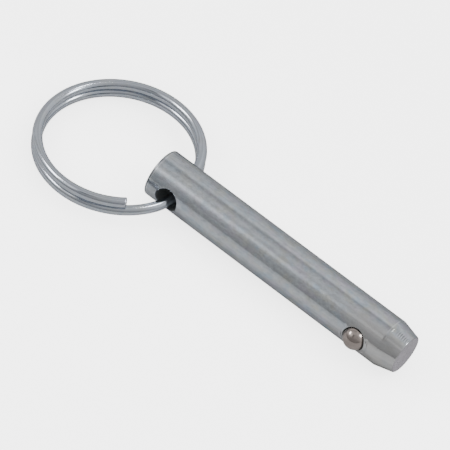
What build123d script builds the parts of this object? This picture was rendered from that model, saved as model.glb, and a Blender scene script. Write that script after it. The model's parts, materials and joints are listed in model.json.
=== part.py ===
from build123d import *
import os
from math import asin, atan2, cos, degrees, hypot, radians, sin, sqrt, tan

# Detent hitch pin, in millimetres: a plain round pin with a sprung ball in a blind cross bore near its
# nose, and a two-turn split ring through a cross hole at its head end. It lies as it comes to rest.
# The pin's axis is the X axis, with the nose towards +X and the surface it lies on below, at -Z.
# The origin is on that axis where the free grip starts, at the nose side of the ring hole.

# Pin: half-inch round bar, three inches over its ends
pin_diameter = 12.7
pin_length = 76.2
head_edge_radius = 0.4
taper_length = 4.9
taper_angle = 14.3
nose_edge_radius = 0.35
taper_knee_radius = 2.0

# Cross hole, wide enough for both turns of the ring, measured from the head end to its centre
ring_hole_clearance = 1.15
ring_hole_inset = 6.65
ring_hole_edge_radius = 0.15

# Ball and its bore, measured from the nose end to the bore's axis
ball_diameter = 5.95
ball_clearance = 0.3
ball_inset = 11.5
ball_proud = 2.05
ball_clock_angle = 4.7
bore_end_wall = 1.85
drill_point_angle = 118.0

# Two stakes at the bore's mouth, fore and aft, which keep the ball in
stake_contact_angle = 12.0
stake_spread = 70.0
stake_flare_angle = 45.0
stake_tip_land = 0.05
stake_seat_gap = 0.02
stake_mark_radius = 0.45
stake_mark_depth = 0.17
stake_mark_offset = 0.65

# Coil spring behind the ball
spring_wire_diameter = 0.65
spring_wall_clearance = 0.55
spring_pitch = 1.55
spring_end_gap = 0.02

# Split ring: round wire, two turns with an offset bend between them inside the ring hole
ring_wire_diameter = 2.6
ring_inside_diameter = 37.65
turn_gap = 0.05
bend_half_angle = 22.0
bend_centre_angle = -3.0
upper_end_angle = -45.7
lower_end_angle = 25.0
shear_notch_depth = 0.35
shear_notch_drop = 0.1

# How the ring lies: turned and shifted a little in its hole, and low in it
ring_turn_angle = -0.75
ring_shift = 0.1
ring_seat_gap = 0.02
floor_gap = 0.02

# Sizes worked out from those above
pin_radius = pin_diameter / 2
nose_face_radius = pin_radius - taper_length * tan(radians(taper_angle))
ring_hole_radius = ring_wire_diameter + ring_hole_clearance / 2
ring_hole_x = -ring_hole_radius
head_x = ring_hole_x - ring_hole_inset
nose_x = head_x + pin_length
taper_x = nose_x - taper_length
through_all = 2 * pin_diameter

ball_radius = ball_diameter / 2
bore_radius = ball_radius + ball_clearance
ball_x = nose_x - ball_inset
ball_height = pin_radius + ball_proud - ball_radius
drill_point_slope = radians(90 - drill_point_angle / 2)
drill_point_depth = bore_radius * tan(drill_point_slope)
bore_past_axis = pin_radius - bore_end_wall - drill_point_depth

# Outward is the way the ball faces, beside is square to it and to the pin's axis
outward = Vector(0, -cos(radians(ball_clock_angle)), sin(radians(ball_clock_angle)))
beside = Vector(1, 0, 0).cross(outward)
bore_centre = Vector(ball_x, 0, 0)
bore_axis = Axis(bore_centre, outward)
bore_section = Plane(origin=bore_centre, x_dir=(1, 0, 0), z_dir=beside)


def section_turned(angle):
    """The plane of the bore's section, turned about the bore's axis."""
    return Plane(bore_section.location * Rotation(0, angle, 0))


# Bore tool: the drilled space, less the lips that the two stakes push into its mouth
contact = radians(stake_contact_angle)
seat_radius = ball_radius + stake_seat_gap
tip_radius = seat_radius * cos(contact) - stake_tip_land * sin(contact)
tip_height = ball_height + seat_radius * sin(contact) + stake_tip_land * cos(contact)
foot_height = tip_height - (bore_radius - tip_radius) / tan(contact)
flare_height = tip_height + (bore_radius - tip_radius) / tan(radians(stake_flare_angle))
lip_root = bore_radius + stake_mark_offset

with BuildPart() as bore_tool:
    with BuildSketch(bore_section):
        with BuildLine():
            Polyline(
                (0, -bore_past_axis - drill_point_depth),
                (bore_radius, -bore_past_axis),
                (bore_radius, pin_diameter),
                (0, pin_diameter),
                close=True,
            )
        make_face()
    revolve(axis=bore_axis)
    for side in (0, 180):
        with BuildSketch(section_turned(side - stake_spread / 2)):
            with BuildLine():
                Polyline(
                    (bore_radius, foot_height),
                    (tip_radius, tip_height),
                    (bore_radius, flare_height),
                    (lip_root, flare_height),
                    (lip_root, foot_height),
                    close=True,
                )
            make_face()
        revolve(axis=bore_axis, revolution_arc=stake_spread, mode=Mode.SUBTRACT)

# Pin body: turned bar with a tapered nose, the two cross holes and the punch marks beside the ball
mark_height = pin_radius - stake_mark_depth + stake_mark_radius
mark_distance = bore_radius + stake_mark_offset

with BuildPart() as pin_body:
    with BuildSketch(Plane.XZ) as half_section:
        with BuildLine():
            Polyline(
                (head_x, 0),
                (head_x, pin_radius),
                (taper_x, pin_radius),
                (nose_x, nose_face_radius),
                (nose_x, 0),
                close=True,
            )
        make_face()
        head_corner = half_section.vertices().sort_by_distance((head_x, pin_radius, 0))[0]
        fillet(head_corner, head_edge_radius)
        nose_corner = half_section.vertices().sort_by_distance((nose_x, nose_face_radius, 0))[0]
        fillet(nose_corner, nose_edge_radius)
        knee = half_section.vertices().sort_by_distance((taper_x, pin_radius, 0))[0]
        fillet(knee, taper_knee_radius)
    revolve(axis=Axis.X)

    with BuildSketch(Plane(origin=(ring_hole_x, 0, 0), z_dir=(0, 1, 0))):
        Circle(ring_hole_radius)
    extrude(amount=through_all, both=True, mode=Mode.SUBTRACT)
    hole_rims = pin_body.edges(Select.LAST).filter_by(GeomType.LINE, reverse=True)
    fillet(hole_rims, ring_hole_edge_radius)

    add(bore_tool.part, mode=Mode.SUBTRACT)
    for side in (0, 180):
        with BuildSketch(section_turned(side - stake_spread / 2)):
            with Locations((mark_distance, mark_height)):
                Circle(stake_mark_radius)
        revolve(axis=bore_axis, revolution_arc=stake_spread, mode=Mode.SUBTRACT)

# Detent ball: held out against the stakes by its spring
with BuildPart() as detent_ball:
    with Locations(bore_centre + outward * ball_height):
        Sphere(ball_radius)

# Detent spring: from the drill point of the bore to the back of the ball
spring_wire_radius = spring_wire_diameter / 2
coil_radius = bore_radius - spring_wall_clearance - spring_wire_radius
spring_touch = spring_wire_radius + spring_end_gap
seat_drop = (bore_radius - coil_radius) * sin(drill_point_slope)
spring_foot = -bore_past_axis + (spring_touch - seat_drop) / cos(drill_point_slope)
spring_top = ball_height - sqrt((ball_radius + spring_touch) ** 2 - coil_radius**2)
spring_height = spring_top - spring_foot

with BuildPart() as detent_spring:
    with BuildLine() as coil:
        Helix(
            pitch=spring_pitch,
            height=spring_height,
            radius=coil_radius,
            center=bore_centre + outward * spring_foot,
            direction=outward,
        )
    with BuildSketch(Plane(origin=coil.line @ 0, z_dir=coil.line % 0)):
        Circle(spring_wire_radius)
    sweep(path=coil.line, is_frenet=True)

# Where the ring lies: its lower turn rests in the hole's mouth and its far side on the surface
ring_wire_radius = ring_wire_diameter / 2
ring_radius = (ring_inside_diameter + ring_wire_diameter) / 2
turn_offset = (ring_wire_diameter + turn_gap) / 2
half_sagitta = (ring_radius - sqrt(ring_radius**2 - pin_radius**2)) / 2
ring_turn = radians(ring_turn_angle)
mouth_offset = half_sagitta + ring_shift + pin_radius * sin(abs(ring_turn))
strand_room = ring_hole_radius - ring_wire_radius - ring_seat_gap
strand_height = turn_offset - sqrt(strand_room**2 - mouth_offset**2)
drop_to_floor = strand_height - ring_wire_radius + pin_radius - floor_gap
ring_tilt = asin(drop_to_floor / hypot(2 * ring_radius, turn_offset)) - atan2(turn_offset, 2 * ring_radius)
to_hole = Vector(cos(ring_turn), sin(ring_turn), 0)
upright = Vector(0, 0, 1)
near_side = Vector(ring_hole_x, 0, strand_height) + to_hole * (half_sagitta - ring_shift)
ring_x_dir = to_hole * cos(ring_tilt) + upright * sin(ring_tilt)
ring_plane = Plane(
    origin=near_side - ring_x_dir * ring_radius,
    x_dir=ring_x_dir,
    z_dir=upright * cos(ring_tilt) - to_hole * sin(ring_tilt),
)


def half_bend(lean):
    """Half of the offset bend when its plane leans by this angle: its radius, its sweep and its drop.

    It leaves the upper turn at the bend's half angle and ends in the middle of the bend, square to the
    line from the ring's centre.
    """
    half = radians(bend_half_angle)
    sweep_angle = atan2(sin(half), cos(half) * cos(lean))
    run = sin(sweep_angle) * cos(half) + (1 - cos(sweep_angle)) * cos(lean) * sin(half)
    bend_radius = ring_radius * sin(half) / run
    drop = bend_radius * (1 - cos(sweep_angle)) * sin(lean)
    return bend_radius, sweep_angle, drop


# The lean that brings the half bend down by the offset of one turn, found by halving the range
low_lean, high_lean = 0.0, radians(89)
while high_lean - low_lean > 1e-9:
    bend_lean = (low_lean + high_lean) / 2
    if half_bend(bend_lean)[2] < turn_offset:
        low_lean = bend_lean
    else:
        high_lean = bend_lean
bend_radius, bend_sweep = half_bend(bend_lean)[:2]


def on_ring(angle, height):
    """A point of the wire's centre line and the way towards the ring's centre, in the ring's plane."""
    out = Vector(cos(radians(angle)), sin(radians(angle)), 0)
    return out * ring_radius + Vector(0, 0, height), out * -1


def clockwise(angle):
    """The way the wire runs at this angle, seen from above the ring."""
    return Vector(sin(radians(angle)), -cos(radians(angle)), 0)


upper_start, upper_inward = on_ring(upper_end_angle, turn_offset)
upper_sweep = 360 + upper_end_angle - bend_centre_angle - bend_half_angle
lower_sweep = 360 - lower_end_angle + bend_centre_angle - bend_half_angle
lower_start, lower_inward = on_ring(bend_centre_angle - bend_half_angle, -turn_offset)

first_angle = bend_centre_angle + bend_half_angle
first_start, first_inward = on_ring(first_angle, turn_offset)
first_inward = first_inward * cos(bend_lean) + Vector(0, 0, -sin(bend_lean))
first_heading = clockwise(first_angle)
middle_heading = first_heading * cos(bend_sweep) + first_inward * sin(bend_sweep)
middle_start = (
    first_start
    + first_heading * (bend_radius * sin(bend_sweep))
    + first_inward * (bend_radius * (1 - cos(bend_sweep)))
)
middle_out = Vector(cos(radians(bend_centre_angle)), sin(radians(bend_centre_angle)), 0)
middle_inward = first_inward * cos(bend_sweep) - first_heading * sin(bend_sweep)
second_inward = middle_out * (2 * middle_out.dot(middle_inward)) - middle_inward

# Each stretch of the wire: its start, heading, the way to its centre of curvature, radius and sweep
stretches = [
    (upper_start, clockwise(upper_end_angle), upper_inward, ring_radius, upper_sweep),
    (first_start, first_heading, first_inward, bend_radius, degrees(bend_sweep)),
    (middle_start, middle_heading, second_inward, bend_radius, degrees(bend_sweep)),
    (
        lower_start,
        clockwise(bend_centre_angle - bend_half_angle),
        lower_inward,
        ring_radius,
        lower_sweep,
    ),
]

with BuildPart() as ring_wire:
    for start, heading, inward, bend, sweep_degrees in stretches:
        with BuildSketch(Plane(origin=start, x_dir=inward, z_dir=heading)):
            Circle(ring_wire_radius)
        bend_axis = Axis(start + inward * bend, heading.cross(inward))
        revolve(axis=bend_axis, revolution_arc=sweep_degrees)
    # The shears leave the middle of each end set back behind its upper and lower corner
    for angle, height, forward in (
        (upper_end_angle, turn_offset, 1),
        (lower_end_angle, -turn_offset, -1),
    ):
        end_point, end_inward = on_ring(angle, height)
        along = clockwise(angle) * forward
        with BuildSketch(Plane(origin=end_point, x_dir=along, z_dir=along.cross(upright))):
            with BuildLine():
                Polyline(
                    (0, ring_wire_radius),
                    (shear_notch_depth, -shear_notch_drop),
                    (0, -ring_wire_radius),
                    close=True,
                )
            make_face()
        extrude(amount=ring_wire_diameter, both=True, mode=Mode.SUBTRACT)

with BuildPart() as split_ring:
    add(ring_plane.location * ring_wire.part)

# Output, one file for each piece
pin_body.part.label = "pin_body"
split_ring.part.label = "split_ring"
detent_ball.part.label = "detent_ball"
detent_spring.part.label = "detent_spring"

os.makedirs("parts", exist_ok=True)
export_step(pin_body.part, "parts/pin_body.step")
export_step(split_ring.part, "parts/split_ring.step")
export_step(detent_ball.part, "parts/detent_ball.step")
export_step(detent_spring.part, "parts/detent_spring.step")
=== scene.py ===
"""Detent hitch pin: a zinc plated bar with a sprung ball near its nose and a ring through its head.

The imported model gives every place. The bar lies along X with its nose towards +X, and +Z is up.
"""

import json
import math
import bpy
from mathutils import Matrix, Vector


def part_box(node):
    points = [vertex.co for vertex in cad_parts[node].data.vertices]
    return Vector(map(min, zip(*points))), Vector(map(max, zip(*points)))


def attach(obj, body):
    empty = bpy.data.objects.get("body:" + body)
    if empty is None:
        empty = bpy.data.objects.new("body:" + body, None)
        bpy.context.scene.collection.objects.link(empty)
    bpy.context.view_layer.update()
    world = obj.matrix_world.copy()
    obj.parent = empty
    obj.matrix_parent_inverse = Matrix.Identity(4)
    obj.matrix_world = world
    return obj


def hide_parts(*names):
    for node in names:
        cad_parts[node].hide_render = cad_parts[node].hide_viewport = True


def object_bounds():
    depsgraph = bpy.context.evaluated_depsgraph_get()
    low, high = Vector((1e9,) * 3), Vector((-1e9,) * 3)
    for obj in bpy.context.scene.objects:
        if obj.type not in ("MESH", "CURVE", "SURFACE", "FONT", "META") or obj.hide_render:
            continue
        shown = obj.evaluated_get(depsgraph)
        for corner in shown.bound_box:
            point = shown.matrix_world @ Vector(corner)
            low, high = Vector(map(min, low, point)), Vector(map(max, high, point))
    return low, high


bl_info = {
    "name": "Detent Hitch Pin",
    "version": (1, 0, 0),
    "blender": (4, 5, 0),
    "location": "View3D > Sidebar > Hitch Pin",
    "description": "Dresses a detent hitch pin: plated bar, split ring, ball and spring",
    "category": "Add Mesh",
}

import bpy
from bpy.props import FloatProperty, FloatVectorProperty, IntProperty, PointerProperty
from bpy.types import Operator, Panel, PropertyGroup
from mathutils import Matrix, Vector, noise

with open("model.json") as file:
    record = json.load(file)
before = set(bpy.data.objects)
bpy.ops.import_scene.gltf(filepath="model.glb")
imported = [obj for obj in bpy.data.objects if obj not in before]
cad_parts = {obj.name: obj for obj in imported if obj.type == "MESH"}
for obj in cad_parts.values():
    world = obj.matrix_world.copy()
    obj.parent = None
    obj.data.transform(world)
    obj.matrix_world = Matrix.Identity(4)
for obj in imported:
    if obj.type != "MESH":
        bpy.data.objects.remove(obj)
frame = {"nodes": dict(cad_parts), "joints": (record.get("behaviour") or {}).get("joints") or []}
MODEL_LOW, MODEL_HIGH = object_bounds()
BAR_LOW, BAR_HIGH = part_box("pin_body")
BALL_LOW, BALL_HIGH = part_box("detent_ball")
JOINTS = {joint["name"]: joint for joint in frame["joints"]}

BAR_RADIUS = BAR_HIGH.z
HEAD_X = BAR_LOW.x
NOSE_X = BAR_HIGH.x
FLOOR_HEIGHT = MODEL_LOW.z
RING_HOLE_X = JOINTS["ring_swing"]["pos_m"][0]
BALL_WAY = Vector(JOINTS["ball_press"]["axis"]).normalized()
BALL_CENTRE = (BALL_LOW + BALL_HIGH) / 2
BALL_RADIUS = (BALL_HIGH.x - BALL_LOW.x) / 2
UP = Vector((0, 0, 1))
FULL_TURN = 2 * math.pi

# How strongly each mark on the bar shows. The turned line and the head line are painted highlights,
# the strokes are painted glints and painted shade on real chatter, and the edges and the ring
# hole's rim are painted shade.
MARKS = {
    "worn film": 0.8,
    "bands": 0.15,
    "turned line": 0.5,
    "head line": 0.35,
    "bright stroke": 0.55,
    "dull stroke": 0.75,
    "saw lines": 0.3,
    "worn edge": 0.7,
    "torn rim": 0.8,
}

# The room round the bar: angle over the horizon on the far side, in degrees, and the brightness
# there in the ways that the ring's far side, the bar's head, its nose and its taper mirror.
SOFTBOX_BANDS = (
    (0, 0.66, 0.66, 0.72, 0.76),
    (16, 0.82, 0.82, 0.90, 0.84),
    (32, 0.73, 0.73, 1.00, 1.00),
    (48, 0.78, 0.78, 1.18, 1.06),
    (58, 0.96, 0.96, 1.18, 0.78),
    (62, 1.06, 1.06, 1.06, 0.80),
    (66, 1.08, 1.08, 0.78, 0.86),
    (69, 0.58, 0.58, 0.54, 0.90),
    (77, 0.57, 0.57, 0.67, 1.00),
    (85, 0.76, 0.76, 0.82, 1.02),
    (96, 0.88, 0.88, 0.93, 0.94),
    (108, 0.95, 0.95, 0.88, 0.68),
    (114, 1.00, 1.16, 0.40, 0.62),
    (120, 1.10, 2.25, 0.05, 0.84),
    (128, 1.15, 2.55, 0.15, 0.58),
    (134, 1.05, 1.40, 0.34, 0.54),
    (141, 0.90, 0.72, 0.50, 0.52),
    (152, 0.60, 0.54, 0.44, 0.44),
    (166, 0.44, 0.44, 0.40, 0.41),
    (180, 0.34, 0.34, 0.34, 0.32),
)
# How far the mirrored ways lean along X: on the ring's far side, at the head, nose and taper.
RING_LEAN, HEAD_LEAN, NOSE_LEAN, TAPER_LEAN = -0.46, -0.33, -0.22, 0.15
# Softbox strips that the ball and the ring mirror: the ways from the bar to both of their ends,
# their distance and width in metres, how bright they are, where on X they aim, and how far a grid
# on them lets the light spread, in degrees. With 180 there is no grid.
NO_GRID = 180
SOFTBOX_STRIPS = {
    "left_strip": ((-0.76, -0.08, 0.65), (-0.62, -0.52, 0.59), 0.6, 0.09, 10.0, 0.03, NO_GRID),
    "near_strip": ((-0.80, -0.28, 0.53), (-0.61, -0.31, 0.73), 0.35, 0.04, 9.0, 0.03, NO_GRID),
    "right_strip": ((0.74, 0.34, 0.58), (0.50, 0.28, 0.82), 0.6, 0.15, 12.0, 0.03, NO_GRID),
    "top_strip": ((-0.04, 0.34, 0.94), (0.10, 0.34, 0.94), 0.35, 0.10, 42.0, -0.012, 16),
}
# The place on X that the strips' ways start from.
STRIPS_MIDDLE_X = 0.03
# Chips in the near rim of the ring hole: turn from the nose side and width in degrees, and depth.
RIM_CHIPS = (
    (166, 7, 0.00035),
    (28, 6, 0.00012),
    (52, 4, 0.0001),
    (-24, 7, 0.00016),
    (128, 6, 0.0001),
)


def setting(kind, **limits):
    """A maker of settings of one kind, each from its name, description and default."""

    def make(name, description, default):
        return kind(name=name, description=description, default=default, **limits)

    return make


size = setting(FloatProperty, min=0.0, precision=5, unit="LENGTH")
angle_setting = setting(FloatProperty, subtype="ANGLE")
share = setting(FloatProperty, min=0.0, max=1.0)
amount = setting(FloatProperty)
divisions = setting(IntProperty, min=8)
colour = setting(FloatVectorProperty, min=0.0, max=1.0, subtype="COLOR")
position = setting(FloatVectorProperty, subtype="TRANSLATION")
direction = setting(FloatVectorProperty, subtype="DIRECTION")


def turn(name, description, degrees):
    """An angle that a user may change, given in degrees."""
    return angle_setting(name, description, math.radians(degrees))


class BarSizes(PropertyGroup):
    """Sizes of the turned and drilled bar."""

    around: divisions("Divisions around", "Faces around the bar", 128)
    station_step: size("Station step", "Greatest distance between two rings of faces", 0.0012)
    head_edge: size("Head edge", "Radius of the edge round the head end", 0.0004)
    taper_length: size("Taper length", "Length of the tapered nose", 0.0049)
    taper_angle: turn("Taper angle", "Slope of the tapered nose", 14.3)
    taper_knee: size("Taper knee", "Radius where the straight bar runs into the taper", 0.002)
    nose_edge: size("Nose edge", "Radius of the edge round the nose face", 0.00035)
    tool_line: size("Tool line", "Depth of the turned line where the taper starts", 0.00003)
    ring_hole_radius: size("Ring hole radius", "Radius of the hole for the ring", 0.003175)
    ring_hole_edge: size("Ring hole edge", "Broken edge of the ring hole's mouths", 0.00016)
    edge_roughness: size("Edge roughness", "How far the drilled edge wanders", 0.00005)
    ball_clearance: size("Ball clearance", "Gap between the ball and its bore", 0.00016)
    bore_edge: size("Bore edge", "Broken edge round the mouth of the ball's bore", 0.00005)
    bore_depth: size("Bore depth", "Straight wall of the bore past the bar's axis", 0.00253)
    drill_point: size("Drill point", "Height of the drill point at the bore's end", 0.00197)
    stake_contact: turn("Stake contact", "Height on the ball where the stakes hold it", 12)
    stake_spread: turn("Stake spread", "Stretch of the rim that each stake presses in", 70)
    stake_fade: turn("Stake fade", "Stretch of the rim over which a stake runs out", 8)
    stake_play: size("Stake play", "Gap between the ball and the stakes", 0.00003)
    stake_depth: size("Stake depth", "Depth of the mark that each stake leaves", 0.00017)
    stake_offset: size("Stake offset", "From the bore's wall to the stake's mark", 0.00065)
    stake_width: size("Stake width", "Half the width of a stake mark", 0.00042)


class RingSizes(PropertyGroup):
    """Sizes of the split ring and of how it lies."""

    wire_diameter: size("Wire diameter", "Thickness of the ring's wire", 0.0026)
    inside_diameter: size("Inside diameter", "Width of the ring inside its turns", 0.03765)
    turn_gap: size("Turn gap", "Gap between the two turns", 0.00005)
    bend_half_angle: turn("Bend half angle", "Half of the bend between the turns", 22)
    bend_centre: turn("Bend centre", "Where the bend's middle is, from the ring hole", -3)
    upper_end: turn("Upper end", "Where the upper turn is cut off", -45.7)
    lower_end: turn("Lower end", "Where the lower turn is cut off", 25)
    turned: turn("Turned", "How far the ring is turned in its hole", -0.75)
    shift: size("Shift", "How far the ring is shifted towards the head", 0.0001)
    seat_gap: size("Seat gap", "Gap between the wire and its hole at the lowest point", 0.00002)
    floor_gap: size("Floor gap", "Gap between the ring's far side and the floor", 0.00002)
    notch_depth: size("Notch depth", "How far the middle of a sheared end is set back", 0.0004)
    end_reach: size("End reach", "How far from its end the shears have drawn the wire", 0.0016)
    burr: size("Burr", "Height of the burr along the sheared edge", 0.00008)
    end_roughness: size("End roughness", "How rough the sheared ends are", 0.00004)
    around: divisions("Divisions around", "Faces around the wire", 28)
    step: turn("Step", "Turn of the wire from one ring of faces to the next", 1.5)


class FinishColours(PropertyGroup):
    """Colours of the plated, polished and plain metal, and of painted highlights and painted shade.
    """

    zinc: colour("Zinc", "Bright zinc plate", (0.445, 0.477, 0.508))
    zinc_blue: colour("Blue film", "Bluish patches of the film", (0.385, 0.46, 0.54))
    zinc_straw: colour("Straw film", "Yellowish patches of the film", (0.475, 0.483, 0.46))
    zinc_violet: colour("Violet film", "Violet patches of the film", (0.46, 0.457, 0.52))
    zinc_warm: colour("Worn film", "Browner zinc round the ball and taper", (0.475, 0.47, 0.465))
    # The cut face's colour is made far brighter than the plate's, as painted light falling on the
    # face.
    nose_face: colour("Nose face", "Cut end of the nose", (0.78, 0.75, 0.81))
    # Painted shade: a dark line round the edges of both ends.
    painted_edge_shade: colour("Worn edge", "Dark line round both ends, plated thin", (0.17, 0.17, 0.175))
    # Painted highlight on the taper's turned line, just inside the head's edge and on the chatter
    # strokes.
    painted_highlight: colour("Bright tool mark", "Metal that a tool burnished", (0.85, 0.87, 0.9))
    # Painted shade on the dull chatter strokes.
    painted_stroke_shade: colour("Dull tool mark", "Metal that a tool tore", (0.18, 0.19, 0.21))
    zinc_edge: share("Zinc edge", "How bright the plate is at a flat angle", 0.46)
    zinc_roughness: share("Zinc roughness", "How dull the plate is", 0.18)
    wire_edge: share("Wire edge", "How bright the wire is at a flat angle", 0.75)
    wire: colour("Wire", "Bright zinc plate on the ring", (0.454, 0.488, 0.542))
    ball: colour("Ball", "Polished ball steel", (0.33, 0.285, 0.265))
    spring: colour("Spring", "Plain spring wire", (0.30, 0.30, 0.31))
    # Painted shade: the walls inside the holes are painted near black.
    bore: colour("Bore", "Dark drilled wall inside the holes", (0.11, 0.12, 0.115))


class StageSettings(PropertyGroup):
    """The floor, the lights and the camera."""

    floor: colour("Floor", "Pale floor", (0.45, 0.45, 0.45))
    floor_light: amount("Floor light", "Light that comes up through the floor", 0.26)
    floor_glow: amount("Floor glow", "How much brighter the floor looks than it lights", 4.0)
    shadow_reach: size("Shadow reach", "How far the faint shadow spreads", 0.012)
    shadow: share("Shadow", "How dark the shadow on the floor is", 0.3)
    room: amount("Room", "Strength of the softboxes all round", 1.0)
    strips: amount("Strips", "Strength of the softbox strips", 1.0)
    camera_place: position("Camera place", "Where it stands", (0.33275, -0.661453, 0.817722))
    camera_right: direction("Camera right", "Right in the picture", (0.765667, 0.613199, 0.194271))
    camera_view: direction("Camera view", "Where the camera looks", (-0.292332, 0.600751, -0.74407))
    focal_pixels: amount("Focal length", "In pixels of a picture 450 pixels wide", 4571.3)


def smooth_step(value):
    """0 below 0, 1 above 1 and a smooth rise between."""
    value = min(max(value, 0.0), 1.0)
    return value * value * (3 - 2 * value)


def spaced(start, end, step):
    """Evenly spaced values from start to end, no further apart than step, with both ends."""
    count = max(1, math.ceil(abs(end - start) / step - 1e-9))
    return [start + (end - start) * index / count for index in range(count + 1)]


def circle(count):
    """The angles of evenly spaced points round a circle."""
    return [FULL_TURN * index / count for index in range(count)]


def rounded(before, corner, after, radius, steps):
    """Points of the arc that rounds a corner between two straight lines, in a plane."""
    back = (before - corner).normalized()
    ahead = (after - corner).normalized()
    half = back.angle(ahead) / 2
    centre = corner + (back + ahead).normalized() * (radius / math.sin(half))
    first = corner + back * (radius / math.tan(half)) - centre
    last = corner + ahead * (radius / math.tan(half)) - centre
    sweep = first.angle(last)
    points = []
    for index in range(steps + 1):
        angle = sweep * index / steps
        share_first = math.sin(sweep - angle) / math.sin(sweep)
        share_last = math.sin(angle) / math.sin(sweep)
        points.append(centre + first * share_first + last * share_last)
    return points


def strip(outer, inner):
    """Faces between two closed loops of the same length."""
    return [
        (outer[index - 1], inner[index - 1], inner[index], outer[index])
        for index in range(len(outer))
    ]


def new_object(name, data):
    """A new object in the scene."""
    made = bpy.data.objects.new(name, data)
    bpy.context.scene.collection.objects.link(made)
    return made


def new_piece(name, points, faces, material, body, replaced):
    """A smooth mesh piece that rides on a body and takes its finish from a slot."""
    mesh = bpy.data.meshes.new(name)
    mesh.from_pydata(points, [], faces)
    mesh.validate()
    mesh.polygons.foreach_set("use_smooth", [True] * len(mesh.polygons))
    mesh.materials.append(material)
    piece = new_object(name, mesh)
    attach(piece, body)
    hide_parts(*replaced)
    return piece


class BarMesh:
    """Points and faces of the bar, made loop by loop."""

    def __init__(self, sizes):
        self.sizes = sizes
        self.points, self.faces = [], []

    def add_point(self, point):
        self.points.append(tuple(point))
        return len(self.points) - 1

    def add_loop(self, outer, points):
        """A closed loop inside another one, with the faces between them."""
        inner = [self.add_point(point) for point in points]
        self.faces += strip(outer, inner)
        return inner

    def add_fan(self, loop, point):
        """Faces between a closed loop and one point."""
        middle = self.add_point(point)
        self.faces += [(loop[index - 1], middle, loop[index]) for index in range(len(loop))]


def nose_measures(sizes):
    """Where the taper starts along X, and the radius that it comes down to at the nose."""
    return (
        NOSE_X - sizes.taper_length,
        BAR_RADIUS - sizes.taper_length * math.tan(sizes.taper_angle),
    )


def bar_outline(sizes, stations):
    """The bar's outline as points (x, radius), from the head's middle to the nose's middle."""
    taper_x, nose_radius = nose_measures(sizes)
    head_middle, head_corner = Vector((HEAD_X, 0)), Vector((HEAD_X, BAR_RADIUS))
    knee, nose_corner = Vector((taper_x, BAR_RADIUS)), Vector((NOSE_X, nose_radius))
    edge_steps, knee_steps, taper_steps = 8, 6, 8
    head_arc = rounded(head_middle, head_corner, knee, sizes.head_edge, edge_steps)
    knee_arc = rounded(head_corner, knee, nose_corner, sizes.taper_knee, knee_steps)
    nose_arc = rounded(knee, nose_corner, Vector((NOSE_X, 0)), sizes.nose_edge, edge_steps)
    face_shares = (0.25, 0.5, 0.75, 0.92, 0.98)
    outline = [Vector((HEAD_X, head_arc[0].y * part)) for part in face_shares]
    outline += head_arc
    outline += [Vector((x, BAR_RADIUS)) for x in stations]
    outline += knee_arc
    line = sizes.tool_line
    slope = (nose_corner - knee).normalized()
    inward = Vector((slope.y, -slope.x))
    start = knee_arc[-1]
    outline += [start + slope * line * 2, start + slope * line * 4 + inward * line]
    outline += [start + slope * line * 6, start + slope * line * 8]
    outline += [start.lerp(nose_arc[0], step / taper_steps) for step in range(1, taper_steps)]
    outline += nose_arc
    outline += [Vector((NOSE_X, nose_arc[-1].y * part)) for part in reversed(face_shares)]
    return outline


class Mouth:
    """A round mouth in the bar's side, set into a window of the bar's grid of faces."""

    def __init__(self, mesh, centre_x, way, rows, first_column, columns):
        self.mesh, self.centre_x, self.way = mesh, centre_x, way
        self.beside = Vector((1, 0, 0)).cross(way)
        self.first_row, self.last_row = rows
        self.first_column, self.columns = first_column, columns

    def covers(self, row, column):
        offset = (column - self.first_column) % self.mesh.sizes.around
        return self.first_row <= row < self.last_row and offset < self.columns

    def edge(self):
        """The window's edge: (row, column offset) pairs, clockwise seen from outside."""
        low, high, last = self.first_row, self.last_row, self.columns
        pairs = [(row, 0) for row in range(low, high)]
        pairs += [(high, offset) for offset in range(last)]
        pairs += [(row, last) for row in range(high, low, -1)]
        return pairs + [(low, offset) for offset in range(last, 0, -1)]

    def surface(self, along, across, sink):
        """A point under the bar's surface: along X from the mouth's middle, and round the bar."""
        angle = across / BAR_RADIUS
        out = self.way * math.cos(angle) - self.beside * math.sin(angle)
        return Vector((self.centre_x + along, 0, 0)) + out * (BAR_RADIUS - sink)

    def below_surface(self, radius, angle, depth):
        """A point at this radius and turn round the mouth's axis, this far below the surface."""
        across = radius * math.sin(angle)
        return self.at_height(radius, angle, math.sqrt(BAR_RADIUS**2 - across**2) - depth)

    def at_height(self, radius, angle, height):
        """A point at this radius and turn round the mouth's axis, at a height over the bar's."""
        sideways = self.beside * (-radius * math.sin(angle))
        along = Vector((self.centre_x + radius * math.cos(angle), 0, 0))
        return along + sideways + self.way * height


def patch_loops(mouth, grid, rim_radius, layers, sink=lambda _spot: 0.0):
    """Loops from the window's edge in to the rim, and each point's turn round the mouth."""
    mesh = mouth.mesh
    crowding = 1.6
    loop = [
        grid[row][(mouth.first_column + offset) % mesh.sizes.around]
        for row, offset in mouth.edge()
    ]
    flat, turns, rim = [], [], []
    for index in loop:
        point = Vector(mesh.points[index])
        out = Vector((0, point.y, point.z)).normalized()
        angle = math.atan2(-out.dot(mouth.beside), out.dot(mouth.way))
        flat.append(Vector((point.x - mouth.centre_x, angle * BAR_RADIUS)))
        turns.append(math.atan2(flat[-1].y, flat[-1].x))
        across = BAR_RADIUS * math.asin(rim_radius * math.sin(turns[-1]) / BAR_RADIUS)
        rim.append(Vector((rim_radius * math.cos(turns[-1]), across)))
    for layer in range(1, layers + 1):
        share_in = 1 - (1 - layer / layers) ** crowding
        spots = [start.lerp(end, share_in) for start, end in zip(flat, rim)]
        loop = mesh.add_loop(loop, [mouth.surface(spot.x, spot.y, sink(spot)) for spot in spots])
    return loop, turns


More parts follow.
